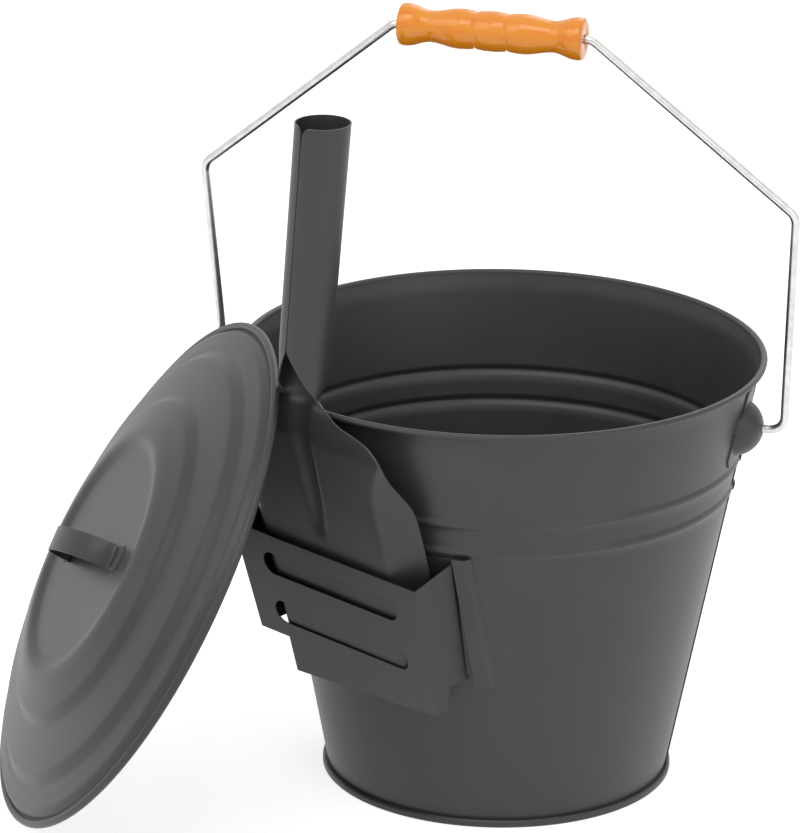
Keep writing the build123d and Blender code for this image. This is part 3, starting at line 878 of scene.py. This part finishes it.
@dataclass
class Shovel:
    """One folded sheet: rolled tube, opening neck and grooved blade."""

    sheet: float = 0.9
    tube_top: float = 425.4
    tube_foot: float = 296.0
    tube_radius: float = 14.9
    top_radius: float = 15.8
    axis_foot: float = 155.6
    lean: float = 0.095
    closed: float = 179.2
    neck_reach: float = 159.8
    kink: float = 242.0
    side_bend: float = 36.0
    plate_top: float = 165.6
    blade_tip: float = 100.0
    groove_steps: int = 8
    steps: int = 14
    wall: Pair = (94.15, 0.29)
    wall_gap: Pair = (0.75, 2.0)
    mouth: Triple = (4.5, 4.0, 3.2)
    mouth_sweeps: Pair = (176.0, 169.0)
    floor_shares: Pair = (0.5, 0.93)
    bend_start: Pair = (0.06, 0.03)
    side_shares: Triple = (0.2, 0.9, 1.0)
    opening: tuple[tuple[float, ...], ...] = (
        (30.0, 13.9, 12.0, 74.0), (26.0, 14.3, 9.3, 100.0), (22.0, 14.8, 6.3, 123.0),
        (17.0, 14.9, 3.3, 139.0), (9.0, 14.9, 0.8, 158.0), (2.5, 14.9, 0.1, 174.0),
    )
    blade: tuple[tuple[float, ...], ...] = (
        (0.0, 7.0, 0.05, 46.0, 5.0), (2.0, 7.0, 0.05, 48.4, 6.6), (7.0, 7.0, 0.05, 49.0, 8.0),
        (16.0, 7.0, 0.05, 49.6, 11.0), (25.0, 7.0, 0.05, 50.0, 14.0), (37.0, 7.0, 0.05, 50.5, 19.5),
        (50.0, 7.0, 0.05, 51.0, 23.0), (64.0, 7.0, 0.05, 51.6, 24.6), (74.0, 7.0, 0.05, 52.0, 25.0),
        (78.5, 7.4, 0.3, 52.0, 25.0), (84.0, 8.4, 1.7, 52.0, 25.0), (96.0, 9.4, 2.8, 51.0, 25.5),
        (105.0, 10.0, 3.3, 50.6, 25.4), (112.0, 10.5, 3.5, 51.0, 24.2), (119.0, 10.8, 3.6, 52.8, 19.0),
        (127.0, 11.2, 3.6, 56.0, 11.5), (134.0, 11.5, 3.6, 60.3, 6.2), (139.0, 11.7, 3.6, 63.6, 3.0),
        (142.0, 11.8, 3.6, 64.8, 1.6), (145.0, 11.9, 3.6, 62.6, 1.2), (147.0, 12.0, 3.6, 60.0, 1.0),
        (150.6, 12.1, 3.7, 55.0, 0.9), (153.6, 12.3, 3.8, 45.0, 0.7), (155.2, 12.4, 3.8, 36.0, 0.6),
        (157.5, 12.6, 3.8, 29.0, 0.5), (162.0, 12.6, 3.8, 22.5, 0.5),
    )

    def floor_reach(self, height: float) -> float:
        """Find how far the blade's floor stands from the bucket's axis.

        Args:
            height: the height in millimetres.

        Returns:
            The distance in millimetres.
        """
        reach, slope = self.wall
        gap, growth = self.wall_gap
        share = (min(height, self.plate_top) - self.blade_tip) / (self.plate_top - self.blade_tip)
        depth = (SHEET + gap + growth * share) * math.hypot(1.0, slope)
        low = reach + slope * min(height, self.plate_top) - depth
        share = (height - self.plate_top) / (self.kink - self.plate_top)
        return low + (self.neck_reach - low) * min(max(share, 0.0), 1.0)

    def stations(self) -> list[Station]:
        """List the sections from the tip to the tube's open end.

        Returns:
            The sections in order of height.
        """
        found: list[Station] = []
        for rise, half, groove, floor, side in self.blade:
            height = self.blade_tip + rise
            back = self.floor_reach(height) - groove
            found.append(Station(height, back, half, groove=groove, floor=floor, side=side))
        front = self.axis_foot + self.tube_radius
        for drop, half, way, sweep in self.opening:
            back = self.axis_foot - self.tube_radius + way
            found.append(Station(self.tube_foot - drop, back, half, sweep, (front - back) / 2))
        length = self.tube_top - self.tube_foot
        low, middle_way, high = (length - drop for drop in self.mouth)
        for along in (0.0, 3.0, 0.35 * length, 0.7 * length, low, high, length):
            radius = self.tube_radius + (self.top_radius - self.tube_radius) * along / length
            middle = self.axis_foot - self.lean * along
            sweep = self.closed if along < middle_way else self.mouth_sweeps[0]
            if along == length:
                sweep = self.mouth_sweeps[1]
            found.append(Station(self.tube_foot + along, middle - radius, radius, sweep, radius))
        return found

    def half_line(self, station: Station) -> list[Pair]:
        """Draw half of a section, with as many points at each height.

        Args:
            station: the section.

        Returns:
            The (across, outwards) points from its middle to its edge.
        """
        points: list[Pair] = []
        if station.sweep:
            for step in range(self.steps + 1):
                angle = math.radians(station.sweep) * step / self.steps
                rise = station.deep * (1 - math.cos(angle))
                points.append((station.half * math.sin(angle), station.back + rise))
            return points
        for step in range(self.groove_steps + 1):
            share = step / self.groove_steps
            swell = (1 - math.cos(math.pi * share)) / 2
            points.append((station.half * share, station.back + station.groove * swell))
        edge_x, edge_y = points[-1]
        for share in self.floor_shares:
            points.append((edge_x + (station.floor - edge_x) * share, edge_y))
        bend = math.radians(self.side_bend)
        out, back = (part * station.side for part in self.bend_start)
        points.append((station.floor + out, edge_y - back))
        for share in self.side_shares:
            reach = station.side * share
            points.append((station.floor + reach * math.cos(bend), edge_y - reach * math.sin(bend)))
        return points

    def build(self, paint: Material) -> None:
        """Draw the sections, bridge them, then smooth and thicken the sheet.

        Args:
            paint: the shovel's paint.
        """
        stations = self.stations()
        chains = []
        for station in stations:
            half = self.half_line(station)
            line = [(-x, y) for x, y in half[:0:-1]] + half
            chains.append([Vector((x, y, station.height)) for x, y in line])
        sheet = drawn_piece("shovel_sheet", chains)
        bridge_levels(sheet, [station.height for station in stations])
        axis = next(j for j in frame["joints"] if j["name"] == "shovel_lift")["axis"]
        angle = math.atan2(axis[1], axis[0])
        apply_modifier(sheet, "SUBSURF", levels=2, render_levels=2)
        only(sheet)
        bpy.ops.object.mode_set(mode="EDIT")
        bpy.ops.mesh.select_all(action="SELECT")
        bpy.ops.mesh.normals_make_consistent(inside=False)
        bpy.ops.object.mode_set(mode="OBJECT")
        thicken(sheet, self.sheet)
        place(sheet, Matrix.Rotation(angle - math.pi / 2, 4, "Z"))
        soften(sheet, 50)
        settle(sheet, Body.SHOVEL, Slot.SHOVEL, paint, "ash_shovel")


@dataclass(frozen=True)
class Lamp:
    """Square soft lamp."""

    name: str
    place: Triple
    size: float
    power: float


@dataclass
class Studio:
    """Pale floor, soft lamps and the camera at the photograph's place."""

    camera_place: Triple = (0.82622, -3.14935, 1.35135)
    heading: float = 15.75
    pitch: float = -19.206
    roll: float = 0.573
    focal_pixels: float = 5869.5
    image_height: float = 833.0
    sensor: float = 36.0
    target: Triple = (-0.03, -0.05, 0.2)
    lamps: tuple[Lamp, ...] = (
        Lamp("key_lamp", (-1.3, -1.7, 2.3), 1.6, 12.0), Lamp("fill_lamp", (2.3, -1.6, 1.2), 1.8, 9.0),
        Lamp("back_lamp", (0.3, 2.0, 2.0), 1.6, 10.0), Lamp("top_lamp", (0.1, -1.4, 2.6), 1.2, 13.0),
    )
    floor_size: float = 12.0
    floor_level: float = -0.0002
    floor_grey: float = 0.80
    floor_glow: float = 0.75
    air_light: float = 0.46

    def add_camera(self) -> None:
        """Put the camera where the photograph was taken from."""
        data = bpy.data.cameras.new("photo_camera")
        data.sensor_fit = "VERTICAL"
        data.sensor_height = self.sensor
        data.lens = self.focal_pixels * self.sensor / self.image_height
        data.clip_end = 20.0
        camera = bpy.data.objects.new("photo_camera", data)
        bpy.context.collection.objects.link(camera)
        turn = Matrix.Rotation(math.radians(self.heading), 4, "Z")
        tilt = Matrix.Rotation(math.radians(90 + self.pitch), 4, "X")
        lean = Matrix.Rotation(math.radians(self.roll), 4, "Z")
        camera.matrix_world = Matrix.Translation(self.camera_place) @ turn @ tilt @ lean
        bpy.context.scene.camera = camera

    def add_lamp(self, lamp: Lamp) -> None:
        """Add a lamp that faces the object.

        Args:
            lamp: the lamp's name, place, size and power.
        """
        data = bpy.data.lights.new(lamp.name, "AREA")
        data.shape = "SQUARE"
        data.size = lamp.size
        data.energy = lamp.power
        light = bpy.data.objects.new(lamp.name, data)
        bpy.context.collection.objects.link(light)
        spot = Vector(lamp.place)
        facing = (Vector(self.target) - spot).to_track_quat("-Z", "Y")
        light.matrix_world = Matrix.Translation(spot) @ facing.to_matrix().to_4x4()

    def add_floor(self) -> None:
        """Add the pale floor, white to the camera but for the object's shadow."""
        deselect_all()
        bpy.ops.mesh.primitive_plane_add(size=self.floor_size, location=(0, 0, self.floor_level))
        floor = bpy.context.object
        floor.name = "floor"
        material, tree, shader = new_material("pale_floor")
        shader.inputs["Base Color"].default_value = (*[self.floor_grey] * 3, 1)
        shader.inputs["Roughness"].default_value = 0.9
        shader.inputs["Specular IOR Level"].default_value = 0.1
        shader.inputs["Emission Color"].default_value = (1, 1, 1, 1)
        path = tree.nodes.new("ShaderNodeLightPath")
        seen = maths_in(tree, "MAXIMUM", path.outputs["Is Camera Ray"], path.outputs["Is Glossy Ray"])
        strength = maths_in(tree, "MULTIPLY", seen.outputs["Value"], self.floor_glow)
        tree.links.new(strength.outputs["Value"], shader.inputs["Emission Strength"])
        floor.data.materials.append(material)

    def add_world(self) -> None:
        """Light the air evenly, and show white to camera, mirror and glass rays."""
        world = bpy.data.worlds.new("studio_air")
        world.use_nodes = True
        bpy.context.scene.world = world
        tree = world.node_tree
        air = tree.nodes["Background"]
        air.inputs["Color"].default_value = (1, 1, 1, 1)
        path = tree.nodes.new("ShaderNodeLightPath")
        camera, through = path.outputs["Is Camera Ray"], path.outputs["Is Transmission Ray"]
        direct = maths_in(tree, "MAXIMUM", camera, through)
        seen = maths_in(tree, "MAXIMUM", direct.outputs["Value"], path.outputs["Is Glossy Ray"])
        mixed = node_in(tree, "ShaderNodeMapRange")
        mixed.inputs["To Min"].default_value = self.air_light
        mixed.inputs["To Max"].default_value = 1.0
        tree.links.new(seen.outputs["Value"], mixed.inputs["Value"])
        tree.links.new(mixed.outputs["Result"], air.inputs["Strength"])

    def build(self) -> None:
        """Set up the whole studio."""
        self.add_camera()
        for lamp in self.lamps:
            self.add_lamp(lamp)
        self.add_floor()
        self.add_world()
        bpy.context.scene.view_settings.view_transform = "Standard"


def main() -> None:
    """Build the studio, the finishes and every piece in order."""
    logging.basicConfig(level=logging.INFO, format="%(message)s")
    Studio().build()
    groups = SurfaceGroups()
    body_paint = Paint("bucket_grey", (0.040, 0.040, 0.042), (0.052, 0.052, 0.054)).make(groups)
    # Painted shade: the pocket's paint is set much darker than the bucket's to stand for the shade in
    # and behind its slots.
    pocket_paint = Paint("pocket_grey_painted_shade", (0.022, 0.022, 0.023), (0.029, 0.029, 0.030)).make(groups)
    shovel_paint = Paint("shovel_grey", (0.038, 0.038, 0.039), (0.047, 0.047, 0.048)).make(groups)
    lid_paint = Paint("lid_grey", (0.035, 0.0344, 0.0310), (0.043, 0.0423, 0.0385)).make(groups)
    wire = DrawnWire("bright_wire").make(groups)
    wood = LacqueredWood("orange_wood").make(groups)
    Bucket().build(body_paint)
    Lid().build(lid_paint)
    Grip().build(wood)
    Shovel().build(shovel_paint)
    # The pocket gets the darker paint that holds painted shade.
    dress_node("shovel_pocket", pocket_paint)
    for node in ("bail_wire", "rim_wire", "lid_edge_wire"):
        dress_node(node, wire)


if __name__ == "__main__":
    main()
